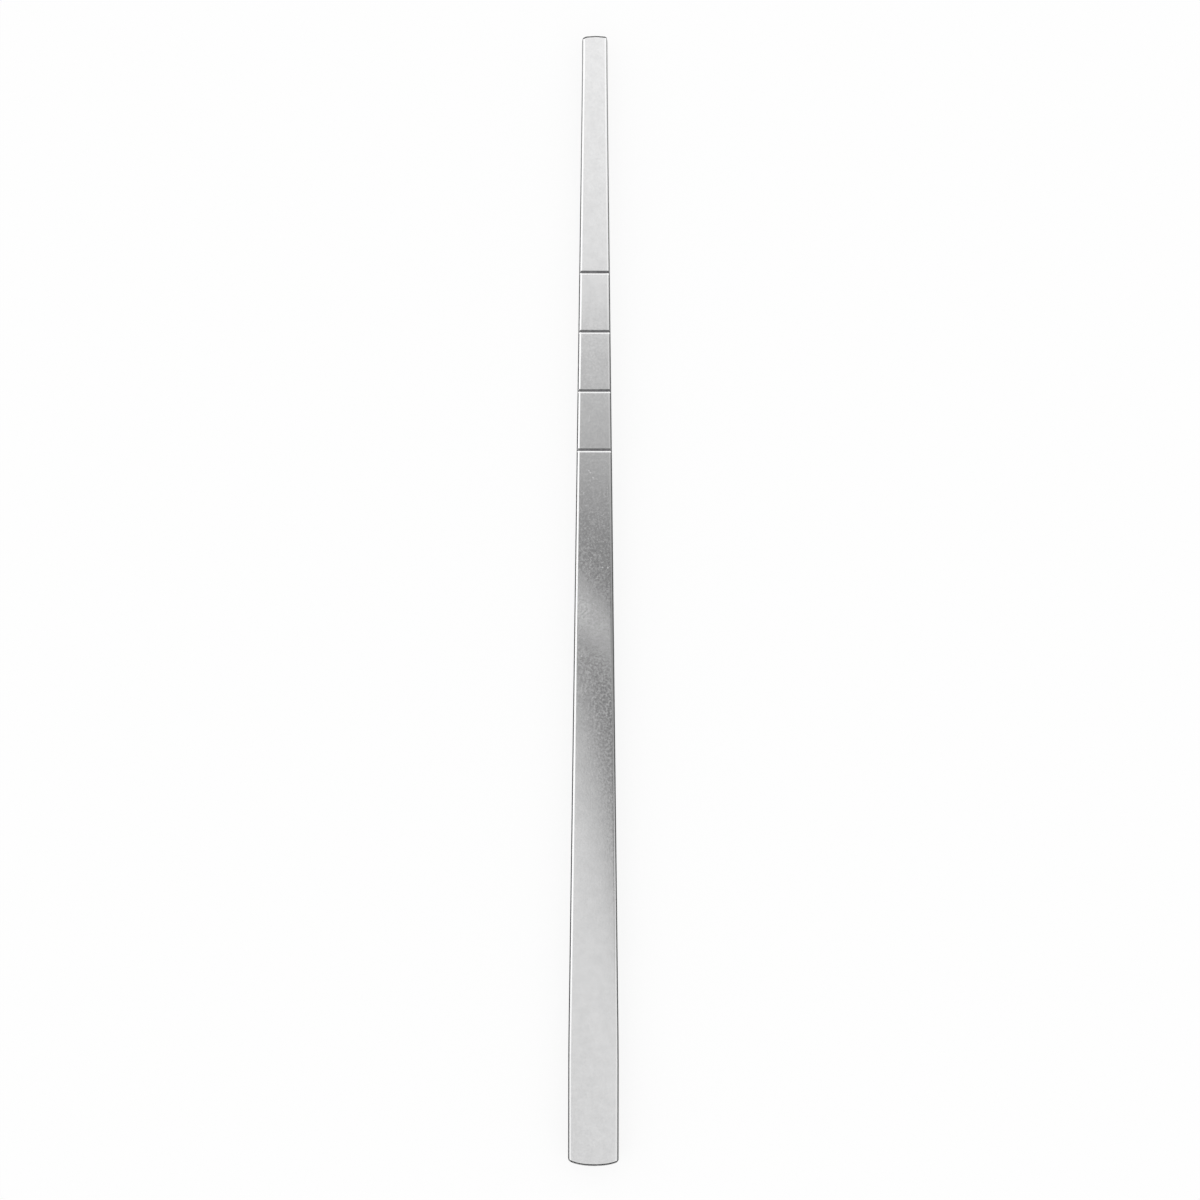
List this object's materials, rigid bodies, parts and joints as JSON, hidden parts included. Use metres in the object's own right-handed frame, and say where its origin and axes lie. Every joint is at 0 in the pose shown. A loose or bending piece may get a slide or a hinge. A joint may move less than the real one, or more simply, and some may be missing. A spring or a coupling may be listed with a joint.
{
  "type": "nasal chisel",
  "caption": "Slim one-piece steel chisel bar, tapering to a single-bevel cutting edge, with engraved depth marks and a crowned end for the mallet.",
  "frame": {"origin": "on the flat back, midway along the bar and on its centreline, where the lying bar touches the surface", "axes": "+Y along the bar towards the cutting edge, +X across its width, +Z out of the front face with the depth marks"},
  "size_m": [0.0086, 0.191, 0.0045],
  "materials": {
    "steel": "satin"
  },
  "bodies": {
    "root": {"chisel": "steel"}
  },
  "joints": []
}
